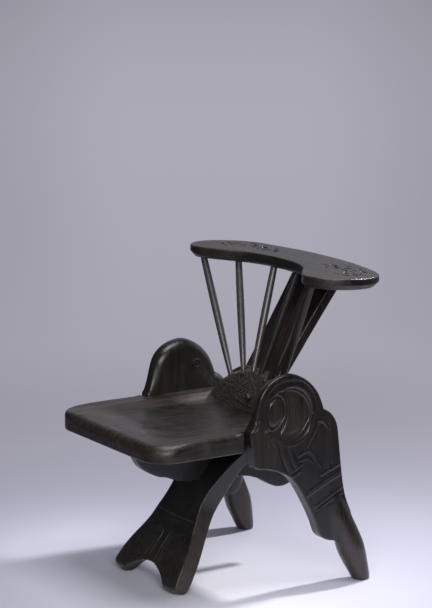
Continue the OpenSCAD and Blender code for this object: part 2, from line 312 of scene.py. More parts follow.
def piece(name, P, Q, stands_for, rub=None, mirror=False):
    """A finished wooden piece, with its curvature (for worn edges with some painted highlight, and painted shade in
    its hollows) and rubbed areas stored on it.
    """
    P = P.copy()
    if mirror:
        P[:, 0] *= -1
        Q = Q[:, ::-1]
    W = to_frame(P)
    me = bpy.data.meshes.new(name)
    me.vertices.add(len(W))
    me.vertices.foreach_set("co", W.astype(np.float32).ravel())
    me.loops.add(Q.size)
    me.loops.foreach_set("vertex_index", Q.astype(np.int32).ravel())
    me.polygons.add(len(Q))
    me.polygons.foreach_set("loop_start", np.arange(0, Q.size, 4, dtype=np.int32))
    me.polygons.foreach_set("loop_total", np.full(len(Q), 4, np.int32))
    me.update(calc_edges=True)
    me.validate()
    me.polygons.foreach_set("use_smooth", np.ones(len(me.polygons), bool))
    n = len(me.vertices)
    E = np.empty(len(me.edges) * 2, np.int32)
    me.edges.foreach_get("vertices", E)
    E = E.reshape(-1, 2)
    N = np.empty(n * 3, np.float32)
    me.vertex_normals.foreach_get("vector", N)
    N = N.reshape(-1, 3).astype(float)
    X = W * 1000
    c = np.bincount(E[:, 0], minlength=n) + np.bincount(E[:, 1], minlength=n)
    mid = np.stack([np.bincount(E[:, 0], X[E[:, 1], k], n) + np.bincount(E[:, 1], X[E[:, 0], k], n)
                    for k in range(3)], 1) / np.maximum(c, 1)[:, None]
    L = np.sqrt(((X[E[:, 0]] - X[E[:, 1]]) ** 2).sum(1)).mean()
    bend = -((mid - X) * N).sum(1) / (L * L) * 4     # about 1 / radius in mm, convex > 0
    bend = relax(bend, E, n, 3)
    # signed curvature: the material lightens convex edges, partly as wear and partly as painted highlight, and
    # darkens hollows as painted shade
    wear_and_sheen = np.clip(bend * 6.0, -1, 1)
    a = me.attributes.new("wear_and_sheen", "FLOAT", "POINT")
    a.data.foreach_set("value", wear_and_sheen.astype(np.float32))
    a = me.attributes.new("rub", "FLOAT", "POINT")
    v = np.zeros(n) if rub is None else np.clip(rub(P), 0, 1)
    a.data.foreach_set("value", v.astype(np.float32))
    ob = bpy.data.objects.new(name, me)
    bpy.context.scene.collection.objects.link(ob)
    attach(ob, "root")
    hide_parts(*stands_for)
    return ob


# ------------------------------------------------------------- side panels

hump = path([[17, 334], [13, 360], [9, 392], [6, 419], [13, 432],
             [21, 454], [28, 481], [37, 509], [52, 530], [75, 545.5], [101, 554],
             [125, 556], [150, 548.5], [180, 530], [204, 503], [217, 476], [224, 456]])
rump = path([[224, 456], [236, 449.5], [249, 439], [262, 419], [268, 395],
             [272, 360], [276, 317], [282, 270], [290, 230], [303, 182]])
tongue = path([[303, 182], [296, 150], [282, 126], [262, 112.5], [248, 112],
               [234, 116.5], [221, 124.5], [212, 136], [201, 165], [186.5, 196],
               [172, 223], [156, 251], [140, 275], [120, 295], [92, 310], [62, 321],
               [30, 327], [17, 334]])
panel_d = outline(np.concatenate([hump, rump[1:], tongue[1:-1]]))

rel = Sheet(-20, 330, 90, 575, 0.8)
# outer step round the top of the ring, then the ring itself
rel.region([[52, 470], [54, 498], [63, 519], [78, 533], [98, 541], [120, 543], [146, 539],
            [168, 527], [186, 509], [197, 486], [201, 460], [196, 440], [190, 424],
            [186, 411], [177, 398], [163, 386], [148, 379], [132, 375.5], [115, 376],
            [97, 380], [79, 391], [66, 404], [55, 430]], -1.3, 1.3)
rel.line([[61, 517], [76, 531], [96, 538.5], [118, 541], [146, 537]], 1.7, 0.9)
rel.line([[100, 516], [114, 524], [132, 524.5], [150, 519.5], [168, 508], [180, 494],
          [188, 475], [190.5, 452]], 2.5, 1.5)
ring = [[60, 450], [60, 474], [67, 494], [78, 507], [92, 514.5], [108, 519], [132, 520],
        [149, 515.5], [165, 504], [176, 490], [184, 473], [187, 452], [185, 435],
        [182, 420], [174, 405], [161, 393.5], [146, 386], [132, 383], [116, 384],
        [99, 388], [84, 398], [73, 409], [64, 424]]
rel.region(ring, -2.0, 1.4)
disc = [[109, 510], [120, 513.5], [138, 510.5], [156, 501], [170, 487], [180, 468],
        [183, 448], [179, 433], [169, 420], [162, 409.5], [148, 398.5], [133, 393],
        [118, 393.5], [104, 397.5], [97, 404.5], [106, 420], [114, 437], [117.5, 451],
        [117.5, 472], [114.5, 492]]
rel.region(disc, -2.1, 1.1)
rel.dome(loop([[122, 500], [140, 498], [157, 486], [169, 468], [172, 448], [164, 428],
               [150, 412], [132, 404], [118, 406], [122, 430], [126, 455], [124, 480]]),
         1.3, 18, raw=True)
# the crisp ridge on the inner side of the disc, and the groove beside it
rel.line([[112, 505], [117, 488], [119.5, 468], [118.5, 450], [114.5, 436], [106, 420],
          [98, 407]], 2.0, 3.6)
rel.line([[104, 492], [108, 472], [107.5, 456], [103, 438], [95.5, 414]], 2.0, -1.8)
# the small raised oval
oval = [[84, 498], [72.5, 494], [63.5, 484], [59, 470], [58.5, 456], [62, 438], [69, 430],
        [79, 428], [90, 434], [99, 444], [103.5, 458], [102.5, 475], [95, 493]]
rel.region([[84, 506], [68, 501], [57, 488], [52.5, 471], [52.5, 452], [56, 434], [64, 423],
            [76, 422], [88, 427], [98, 436], [106, 450], [108, 470], [103, 490], [95, 503]],
           -1.6, 1.3)
rel.dome(oval, 4.8, 14)
rel.line([[63, 421.5], [76, 421], [89, 426], [99, 435], [106, 447]], 1.7, 1.9)
rel.line([[70, 402], [84, 391], [100, 381.5], [118, 377.5], [138, 378], [156, 384], [170, 394],
          [182, 407]], 2.8, 1.7)
# bead and the strokes that run down from it
rel.line([[49.5, 421.5], [55.5, 425], [62, 426]], 2.8, 2.9)
rel.line([[64, 396], [72, 385], [81, 371.5]], 2.2, 0.7, taper=True)
rel.line([[59, 404], [68, 388], [76, 373], [81, 362]], 2.1, -0.9, taper=True)
rel.line([[72, 404], [82, 389], [88, 375]], 2.1, -0.8, taper=True)
# the stem: rounded flutes that fall to the leg
rel.line([[88, 388], [91, 372], [95, 354], [104, 329], [116, 305]], 3.0, -0.9)
rel.line([[99, 384], [104, 358], [113, 334], [124, 314]], 6.0, 0.4)
rel.line([[110, 380], [114, 366], [119, 349], [128, 327], [137, 313]], 3.0, -0.7)
rel.line([[121, 373], [127, 352], [136, 332], [146, 318]], 5.2, 0.35)
rel.line([[132, 370], [137, 352], [144, 338], [152, 326]], 2.2, -0.6, taper=True)
# the petal behind the ring
rel.line([[175, 366], [181.5, 380], [192, 394], [199.5, 406], [204, 418], [208, 425],
          [215, 426], [224, 420.5], [232, 411], [238, 402]], 2.0, 0.8)
rel.line([[200, 408], [204, 418], [208, 425], [215, 426], [224, 420.5], [232, 411]], 1.8, 1.3, taper=True)
rel.line([[180, 364], [187, 378], [197, 392], [205, 404], [210, 415], [216, 418.5],
          [223, 413], [230, 403]], 2.0, -0.7)
rel.line([[239, 414], [241.5, 385], [243, 350], [244.5, 311]], 2.2, -1.0)
rel.line([[244, 409], [246.5, 383], [248, 350], [249, 314]], 2.4, 0.4)
rel.line([[256, 402], [258, 378], [259, 350], [259.5, 318]], 2.0, -0.4)
# two small arches under the ring
rel.line([[148, 345], [160, 351], [172, 353.5], [182, 352.5], [193.5, 341.5], [203, 327],
          [212, 311]], 2.2, 0.65)
rel.line([[152, 339], [165, 344.5], [178, 344], [188, 334], [197, 319]], 2.2, -0.5)
rel.line([[151, 331.5], [161, 334], [171, 335], [182, 331.5], [190, 322]], 2.2, 0.55)
# bands across the top of the leg
rel.line([[139, 310], [148, 316], [158, 322.5]], 1.8, 1.5)
rel.line([[118, 296], [136, 305], [154, 316]], 2.0, -0.6)
rel.line([[122, 289.5], [137, 297], [152, 304.5]], 2.2, 2.2)
rel.line([[217, 286.5], [234, 294], [252, 300], [277, 309.5]], 1.9, 1.8)
rel.line([[216, 280], [235, 287.5], [254, 293.5], [279, 303]], 2.4, -0.5)
rel.line([[177, 247.5], [205, 260.5], [232, 273], [257, 282.5], [281, 291]], 1.9, 1.3)
rel.line([[177, 241], [205, 254], [232, 266.5], [257, 276], [281, 284.5]], 4.6, 1.3)
rel.line([[198, 206.5], [223, 220.5], [250, 232.5], [271, 242.5], [289, 250.5]], 1.8, 1.9)
rel.line([[206, 198], [228, 209], [257, 221.5], [281, 231.5]], 1.8, 1.5)
rel.line([[203, 193], [226, 204], [255, 216.5], [282, 226]], 2.6, -0.4)
# little roll where the toe meets the seat edge
rel.line([[1, 424], [10, 427], [17, 432], [21.5, 442]], 2.6, 2.6)
rel.line([[7, 418], [18, 423.5], [26, 432], [30, 445]], 2.1, -2.0)
rel.a *= smooth((-panel_d.at(rel.u, rel.v) - 1.0) / 4.5)
rel.a = np.minimum(rel.a, 2.2)

club_r = path([[15, -20], [18.5, -8], [20.5, 0], [23.5, 12], [27, 31], [29.8, 48], [32.4, 64],
               [35, 90], [34, 120], [31, 157], [26, 195], [17, 226], [6, 246]], 3)
CLUB, CANT = math.radians(19.8), math.radians(4.6)


def panel(p):
    x, y, z = p[:, 0], p[:, 1], p[:, 2]
    d = panel_d.at(y, z) + 0.4 * wobble(z, y, x)
    up = smooth((z - 300) / 140)
    carve = rel.at(y, z)
    outer = x - 262 - carve - wobble(x, y, z, 0.8)
    inner = 227 - x
    r1 = 3.0 + 1.6 * up
    r2 = 4.0 + 22.0 * up * smooth((y - 2) / 38)
    plank = np.maximum(rounded(d, outer, r1), rounded(d, inner, r2))
    w = (x - 268) * math.cos(CANT) + z * math.sin(CANT)
    q = -(x - 268) * math.sin(CANT) + z * math.cos(CANT)
    v = y - 340
    a = v * math.cos(CLUB) + q * math.sin(CLUB)
    b = -v * math.sin(CLUB) + q * math.cos(CLUB)
    r = np.interp(b, club_r[:, 1], club_r[:, 0])
    foot = (np.hypot(w, a) - r) * 0.97 + wobble(x * 1.3, y, z, 0.7)
    foot = np.maximum(foot, b - 244)
    foot = rounded(foot, -z, 4.2)
    foot = rounded(foot, 227 - x, 8.0)
    return blend_in(plank, foot, 15.0)


rub_panel = Sheet(-20, 330, 90, 575, 3.0)
rub_panel.region(disc, 0.62, 5)
rub_panel.region(oval, 0.42, 6)
rub_panel.region([[14, 334], [24, 330], [60, 323], [78, 325], [80, 360], [72, 395],
                  [62, 420], [46, 440], [24, 438], [10, 420], [12, 380]], 0.55, 10)


def panel_rub(p):
    x, y, z = p[:, 0], p[:, 1], p[:, 2]
    out = smooth((x - 248) / 8)
    v = rub_panel.at(y, z) * out * smooth((z - 115) / 20)
    # hands and floors have rubbed the foot
    foot = np.exp(-(((z - 118) / 46) ** 2)) * smooth((y - 262) / 16)
    heel = smooth((34 - z) / 34) * smooth((y - 270) / 20)
    low = smooth((150 - z) / 60) * smooth((y - 268) / 20)
    return np.maximum(v, np.maximum(np.maximum(0.75 * foot, heel), low))


P, Q = surface(panel, (222, -8, -4), (310, 371, 562), 1.45 * FINE)
panel_right = piece("panel_right", P, Q, ["side_panel_right"], panel_rub)
panel_left = piece("panel_left", P, Q, ["side_panel_left"], panel_rub, mirror=True)


# ------------------------------------------------------------- seat

plan = np.concatenate([
    [[227, 262], [227, -4], [248, -4]],
    arc(178, -189, 70, 0, -90, 18), arc(-178, -189, 70, -90, -180, 18),
    [[-248, -4], [-227, -4], [-227, 262]]])
seat_plan = outline(plan, 16, 1.5)


def seat_top(x, y):
    side = 1 - smooth((np.abs(x) - 146) / 52)
    front = smooth((y + 216) / 112)
    depth = 14.0 * side * front
    # a shallow second dip inside the first, as a worn sitting area has
    dip = 1.6 * np.exp(-((x / 95) ** 2 + ((y + 10) / 120) ** 2))
    ridge = 1.0 * np.exp(-((np.abs(x) - 205) / 7) ** 2) * smooth((y + 205) / 60)
    # tracks of the plane, and two soft steps along the edge of the hollow
    q = np.abs(x) + 0.10 * (y - 20) + 3 * np.sin(y / 70)
    step = 0.9 * np.tanh((q - 158) / 3.0) + 0.6 * np.tanh((q - 182) / 2.5)
    plane = 0.28 * np.sin(x / 3.1 + 1.4 * np.sin(y / 90 + x / 40)) * (0.4 + 0.6 * np.sin(x / 23 + y / 130) ** 2)
    fall = (5.0 - 3.6 * smooth((-x - 100) / 80)) * smooth((-y - 90) / 140) ** 1.4
    return 420 - depth - dip - ridge - fall + (step - 1.5) * smooth((y + 150) / 60) + plane


def seat(p):
    x, y, z = p[:, 0], p[:, 1], p[:, 2]
    d = seat_plan.at(x, y)
    t = smooth((y + 30) / 26)
    front = smooth((-150 - y) / 70)
    r1 = (15 + 11 * front) * (1 - 0.5 * smooth((-x - 130) / 70)) * (1 - t) + 1.2 * t
    r2 = 2.8 * (1 - t) + 1.2 * t
    top = z - seat_top(x, y) - wobble(x, y * 0.6, z, 0.7) + 0.4
    return np.maximum(rounded(d, top, r1), rounded(d, 371 - z + wobble(y, x, z, 0.4) * 0.5, r2))


def seat_rub(p):
    x, y, z = p[:, 0], p[:, 1], p[:, 2]
    rim = np.exp(-((np.abs(x) - 190) / 34) ** 2) * smooth((y + 240) / 80) * smooth((z - 398) / 8)
    mid = np.exp(-(((x + 60) / 90) ** 2 + ((y - 10) / 120) ** 2)) * smooth((z - 390) / 8)
    side = smooth((np.abs(x) - 240) / 5) * 0.5
    nose = np.exp(-((z - 394) / 11) ** 2) * smooth((-y - 222) / 16) * 1.2
    left = (smooth((-x - 30) / 60) * smooth((-y - 90) / 60) * smooth((y + 236) / 34)
            * smooth((z - 396) / 10))
    lane = (0.5 + 0.5 * np.sin(x / 2.9 + 1.7 * np.sin(y / 64) + 0.4)) * (0.5 + 0.5 * np.sin(x / 7.3 - y / 150 + 1.0))
    near = np.exp(-((x - 205) / 30) ** 2) * smooth((y + 215) / 60) * smooth((z - 398) / 8)
    far = np.exp(-((x + 188) / 26) ** 2) * smooth((y + 120) / 80) * smooth((z - 398) / 8)
    return (0.40 * rim * (1 - left) + 0.35 * mid + 0.35 * side + 0.6 * np.maximum(nose, left)
            + lane * (0.85 * near + 0.55 * far))


P, Q = surface(seat, (-254, -265, 365), (254, 268, 426), 2.1 * FINE)
seat_ob = piece("seat_plank", P, Q, ["seat"], seat_rub)


# ------------------------------------------------------------- front leg

leg_half = path([[114, 338], [105, 303], [95.7, 272], [89.5, 240], [85, 208],
                 [82, 183], [81.5, 160], [83.5, 140], [88.7, 120], [96, 97], [104, 71],
                 [114.5, 46], [128, 15], [139, -19], [145, -45], [149, -62], [145, -71],
                 [134, -76], [119, -77], [60, -77], [0, -77]], 3)
leg_arch = path([[-99, -2], [-96, 8], [-88, 20], [-76, 29.5], [-60, 37.5],
                 [-42, 44.5], [-22, 49.5], [0, 51], [22, 49.5], [42, 44.5], [60, 37.5],
                 [76, 29.5], [88, 20], [96, 8], [99, -2]], 3)
leg_front = path([[126, 374], [102, 347], [76, 320.5], [55, 298.5], [33, 274],
                  [12, 251], [-5, 231], [-18, 212], [-29, 196], [-40, 178],
                  [-51, 158.5], [-64, 136.5], [-79, 115], [-97, 90.5], [-117, 64],
                  [-132, 42], [-143.5, 22], [-147.5, 12], [-146, 5], [-141, 1],
                  [-136, 0]], 3)
leg_rear = path([[-121, 0], [-112, 3], [-103, 10], [-93, 21], [-80, 39],
                 [-61, 64], [-29, 106], [-9, 139], [13, 171.5], [37, 206.5], [54, 232],
                 [79, 270], [102, 300], [130, 334], [163, 374]], 3)
leg_side = outline(np.concatenate([leg_front, leg_rear]))
lean = math.radians(53.4)
leg_face = outline(np.concatenate([[[-114, 500], [114, 500]], leg_half, flip(leg_half)]))
arch_d = outline(np.concatenate([leg_arch, [[99, -40], [-99, -40]]]), 60)
front_curve = np.concatenate([leg_front[:-8], [[-160, -20]]])
front_y = lambda z: np.interp(z, leg_front[::-1, 1][6:], leg_front[::-1, 0][6:])

lrel = Sheet(-160, 160, -5, 380, 1.0)
lrel.line([[-80, 165.5], [0, 163], [80, 165.5]], 2.2, 0.35)
lrel.line([[-82, 159], [0, 156.5], [82, 159]], 3.2, -1.3)
lrel.line([[-82, 151], [0, 149], [82, 151]], 3.4, 0.6)
for s in (-1, 1):
    # the border of each half of the tail
    lrel.region([[s * 19, 124], [s * 50, 125], [s * 92, 128], [s * 160, 60], [s * 150, 0], [s * 60, 10],
                 [s * 24, 44], [s * 18, 84]], 1.5, 1.5)
    lrel.line([[s * 19, 121], [s * 50, 122], [s * 86, 124.5]], 1.7, 0.8)
    lrel.line([[s * 29, 114], [s * 56, 115], [s * 84, 118]], 2.2, -1.3)
    lrel.line([[s * 29.5, 114], [s * 29.5, 88], [s * 32, 44]], 1.9, -2.0)
    lrel.line([[s * 9, 126], [s * 8, 92], [s * 8, 46]], 1.9, 1.5)
    lrel.line([[s * 14, 122], [s * 13, 90], [s * 14, 46]], 1.7, -1.7)
    # rays that fan out over the lobe
    for k in range(9):
        a = (40 + 8.2 * k, 111 - 1.0 * k)
        b = (48 + 11.6 * k, 40 - 2.8 * k)
        m = ((a[0] + b[0]) / 2 - 2, (a[1] + b[1]) / 2)
        lrel.line([[s * a[0], a[1]], [s * m[0], m[1]], [s * b[0], b[1] - 8]], 1.9,
                  -1.35 - 0.4 * math.sin(3 * k + s), taper=True)


def leg(p):
    x, y, z = p[:, 0], p[:, 1], p[:, 2]
    s = y * math.cos(lean) + z * math.sin(lean)
    side = leg_side.at(y, z)
    face = leg_face.at(x, s) + 0.3 * wobble(z, x, y)
    carve = lrel.at(x, z) * smooth((-face - 1.5) / 5)
    onfront = smooth(0.5 + (side_mid(z) - y) / 12)
    side = side - (carve + wobble(x, s, z, 0.8)) * onfront
    d = rounded(side, face, 3.0)
    return rounded(d, -arch_d.at(x, z), 3.0)


_f = leg_front[:-6][::-1]
_r = leg_rear[4:]
side_mid = lambda z: 0.5 * (np.interp(z, _f[:, 1], _f[:, 0]) + np.interp(z, _r[:, 1], _r[:, 0]))


def leg_rub_and_painted_reflection(p):
    x, y, z = p[:, 0], p[:, 1], p[:, 2]
    # front face lighter and browner towards the bottom of the tail
    tail = smooth((118 - z) / 40) * 0.55 * smooth(0.5 + (side_mid(z) - y) / 14)
    # lower side faces take the warm rubbed colour, partly as wear and partly as a painted reflection of the floor
    low = smooth((240 - z) / 140) * np.exp(-(np.minimum(leg_face.at(x, y * math.cos(lean)
          + z * math.sin(lean)), 0) / 3.0) ** 2) * 0.9
    brow = np.exp(-(((x + 40) / 40) ** 2 + ((z - 262) / 26) ** 2)) * 0.5
    return np.maximum(np.maximum(tail, low), brow)


P, Q = surface(leg, (-154, -152, -4), (154, 168, 371.5), 1.6 * FINE)
keep = P[:, 2] < 371.2
leg_ob = piece("leg_plank", P, Q, ["front_leg"], leg_rub_and_painted_reflection)


# ------------------------------------------------------------- spine board

spine = path([[-190, 371], [-184, 352], [-175, 330], [-166.7, 314], [-156.6, 301],
              [-143, 291], [-129.5, 282.6], [-114.6, 275], [-102, 270.5], [-85, 267.4],
              [-72.6, 262.5], [-60, 256.7], [-50, 252], [-28, 247.5], [0, 245], [60, 240],
              [110, 239], [152, 237], [176, 231], [200, 221], [222, 207.5],
              [245, 196.5], [268, 193.5], [290, 199], [309, 214], [320, 240],
              [319, 272], [308, 308], [291, 340], [266, 371]], 3)
spine_d = outline(np.concatenate([spine, [[266, 373], [-190, 373]]]))


def spine_f(p):
    x, y, z = p[:, 0], p[:, 1], p[:, 2]
    d = spine_d.at(y, z)
    return rounded(d, np.abs(x) - 14 + wobble(x, y, z, 0.5), 2.6)


def low_rub(p):
    return 0.25 + 0.2 * np.sin(p[:, 1] / 60)


P, Q = surface(spine_f, (-18, -196, 188), (18, 326, 376), 1.7 * FINE)
spine_ob = piece("spine_board", P, Q, ["seat_spine"], low_rub)


# ------------------------------------------------------------- back boss

boss_side = path([[166, 398], [169, 425], [174, 455], [180, 478], [187, 495],
                  [198, 507], [213, 512], [228, 512], [238, 506], [243, 494],
                  [244, 476], [244, 456], [246, 438], [252, 420], [258, 402]], 3)
front_arch = path([[212, 386], [200, 402], [187, 419], [171, 436], [142, 461],
                   [118, 476], [94, 488], [65, 500], [42, 507], [0, 512]], 3)
rear_arch = path([[227, 408], [205, 425], [181, 443], [154, 464], [139, 477],
                  [118, 489], [87, 502], [45, 510], [0, 513]], 3)
boss_a = outline(np.concatenate([boss_side, [[260, 390], [166, 390]]]), 40)
boss_b = outline(np.concatenate([front_arch, flip(front_arch)]), 30)
boss_c = outline(np.concatenate([rear_arch, flip(rear_arch), [[-227, 386], [227, 386]]]), 30)

tool = Sheet(-235, 235, 380, 520, 0.8)
fan_edge = np.array([[-8, 487], [-32, 470], [-58, 446], [-64, 428], [-30, 420], [4, 417], [30, 422],
                     [36, 436], [24, 458], [8, 476]], float)
fan = outline(loop(fan_edge), 10, 1.0)
for i in range(20):
    for k in range(-31, 32):
        j1 = math.sin(12.9898 * k + 78.233 * i) * 43.7
        j2 = math.sin(39.346 * k + 11.135 * i) * 51.9
        j3 = math.sin(73.156 * k + 52.235 * i) * 27.3
        j1, j2, j3 = (q - math.floor(q) for q in (j1, j2, j3))
        xx = k * 7.4 + (3.7 if i % 2 else 0) + 3.6 * (j1 - 0.5)
        zy = 394 + i * 6.4 + 3.2 * (j2 - 0.5)
        if abs(xx) > 226 or fan.at(np.array([xx]), np.array([zy]))[0] < 1:
            continue
        a = 3.14 * j3
        ln = 0.4 + 0.9 * j1
        dx, dz = ln * math.cos(a), ln * math.sin(a)
        tool.line([[xx - dx, zy - dz], [xx + dx, zy + dz]], 1.9 + 1.0 * j3, -1.0 - 1.3 * j2, n=1)
# a fan of crossed cuts in the middle
tool.region(fan_edge, 0.9, 1.8)
for k in range(-9, 10):
    for t in (1, -1):
        q = np.array([[-10 + 15.5 * k - 92 * t, 450 - 50], [-10 + 15.5 * k + 92 * t, 450 + 50]], float)
        w = tool.win(q, 6)
        u, v = tool.u[w], tool.v[w]
        tool.a[w] -= 2.4 * np.exp(-(seg_dist(q, u, v) / 2.0) ** 2) * smooth((-2 - fan.at(u, v)) / 2)


def boss(p):
    x, y, z = p[:, 0], p[:, 1], p[:, 2]
    cut = tool.at(x, z) * smooth((232 - y) / 20)
    a = boss_a.at(y, z) - cut - wobble(x, y, z, 1.0)
    front = rounded(a, boss_b.at(x, z), 13.0)
    rear = np.maximum(rounded(a, boss_c.at(x, z), 7.0), 205 - y)
    d = blend_in(front, rear, 7.0)
    return np.maximum(d, np.abs(x) - 226.8)


def boss_rub(p):
    x, y, z = p[:, 0], p[:, 1], p[:, 2]
    return np.exp(-((((x + 8) / 46) ** 2 + ((z - 454) / 25) ** 2) ** 2)) * smooth((215 - y) / 20) * 0.9


P, Q = surface(boss, (-230, 158, 386), (230, 266, 518), 1.8 * FINE)
boss_ob = piece("boss_block", P, Q, ["back_boss"], boss_rub)


# ------------------------------------------------------------- splat

sk = 0.671
sy = lambda z: 379.2 + sk * (z - 758.3)
splat_side = outline([[sy(490), 490], [sy(772), 772], [sy(772) + 27, 754],
                      [sy(490) + 22, 475.4]])
splat_half = path([[75, 470], [77, 513], [79, 560], [82, 620], [86, 680], [90, 730],
                   [93, 790]], 4)
splat_out = outline(np.concatenate([[[0, 462]], splat_half, [[0, 792]], flip(splat_half)]))


def splat(p):
    x, y, z = p[:, 0], p[:, 1], p[:, 2]
    belly = 1.2 * np.cos(x / 60)
    d = splat_side.at(y, z) + 1.2 - belly - wobble(x, y, z, 0.8) * 0.5
    return rounded(d, splat_out.at(x, z), 5.0)


def splat_rub(p):
    x, y, z = p[:, 0], p[:, 1], p[:, 2]
    return np.exp(-((x - 5) / 44) ** 2) * 0.75


P, Q = surface(splat, (-98, 190, 470), (98, 420, 776), 2.2 * FINE)
splat_ob = piece("splat_board", P, Q, ["back_splat"], splat_rub)


# ------------------------------------------------------------- crest rail

crest_half = path([[0, 423], [60, 421], [120, 415], [180, 404], [220, 395],
                   [258, 384], [290, 368], [315, 345], [331, 318], [340, 290],
                   [342, 263], [338, 238], [329, 215], [313, 194], [292, 178],
                   [268, 169], [251, 169], [232, 176], [206, 192], [180, 210],
                   [150, 234], [118, 253], [85, 265], [45, 272], [0, 274.5]], 3)
crest_d = outline(np.concatenate([crest_half, flip(crest_half)]), 20)
CT = math.radians(3.2)

crel = Sheet(-350, 350, 160, 430, 1.0)
for s in (-1, 1):
    # a loose spray of leaf cuts at each end
    for cx, cy, ln, wd, a, dp in (
            (284, 296, 28, 10, 8, -3.6), (256, 290, 24, 9, -14, -3.4), (280, 270, 24, 9, 16, -3.4),
            (250, 262, 18, 7, 30, -2.8), (276, 318, 20, 8, -20, -2.8),
            (248, 350, 30, 10, -12, -4.0), (222, 336, 26, 10, 20, -4.2), (232, 306, 22, 8, -26, -3.4),
            (206, 318, 22, 8, 6, -3.6), (186, 344, 34, 11, 14, -4.6), (156, 330, 30, 10, -10, -4.4),
            (176, 312, 24, 8, 28, -3.4), (130, 342, 30, 10, 6, -4.4), (146, 306, 22, 8, -24, -3.4),
            (112, 324, 22, 8, 22, -3.4), (210, 366, 24, 8, -28, -3.2), (160, 364, 20, 7, 12, -3.0)):
        t = math.radians(a)
        d = np.array([math.cos(t), math.sin(t)])
        e = np.array([-d[1], d[0]])
        c = np.array([cx, cy], float)
        leaf = [c - d * ln / 2, c - d * ln * 0.22 + e * wd * 0.42, c + d * ln * 0.16 + e * wd * 0.5,
                c + d * ln / 2, c + d * ln * 0.2 - e * wd * 0.40, c - d * ln * 0.2 - e * wd * 0.46]
        crel.region([[s * q[0], q[1]] for q in leaf], dp, 1.9)
        crel.line([[s * q[0], q[1]] for q in (c - d * ln / 2, c, c + d * ln / 2)], 2.0, 0.5, taper=True)
    crel.line([[s * 286, 310], [s * 266, 306], [s * 236, 322], [s * 196, 330],
               [s * 150, 318], [s * 116, 334]], 2.0, -2.0)


def crest(p):
    x, y, z = p[:, 0], p[:, 1], p[:, 2]
    v, w = y - 292, z - 791
    yy = v * math.cos(CT) - w * math.sin(CT) + 292
    zz = v * math.sin(CT) + w * math.cos(CT)
    d = crest_d.at(x, yy) + 0.4 * wobble(x, yy, z) + 0.12
    top = zz - crel.at(x, yy) - wobble(x, yy, zz, 0.7) + 0.5
    tip = smooth((np.abs(x) - 210) / 80)
    low = -30 - zz
    cut = (d + low + 6.0 + 7.0 * tip) * 0.7071
    return np.maximum(rounded(d, top, 4.5), np.maximum(rounded(np.maximum(d, low), cut, 1.0), low))


def crest_rub(p):
    return 0.18 + 0.14 * np.sin(p[:, 0] / 75) * np.sin(p[:, 1] / 50)


P, Q = surface(crest, (-348, 160, 744), (348, 430, 804), 2.1 * FINE)
crest_ob = piece("crest_board", P, Q, ["crest_rail"], crest_rub)


# ------------------------------------------------------------- materials

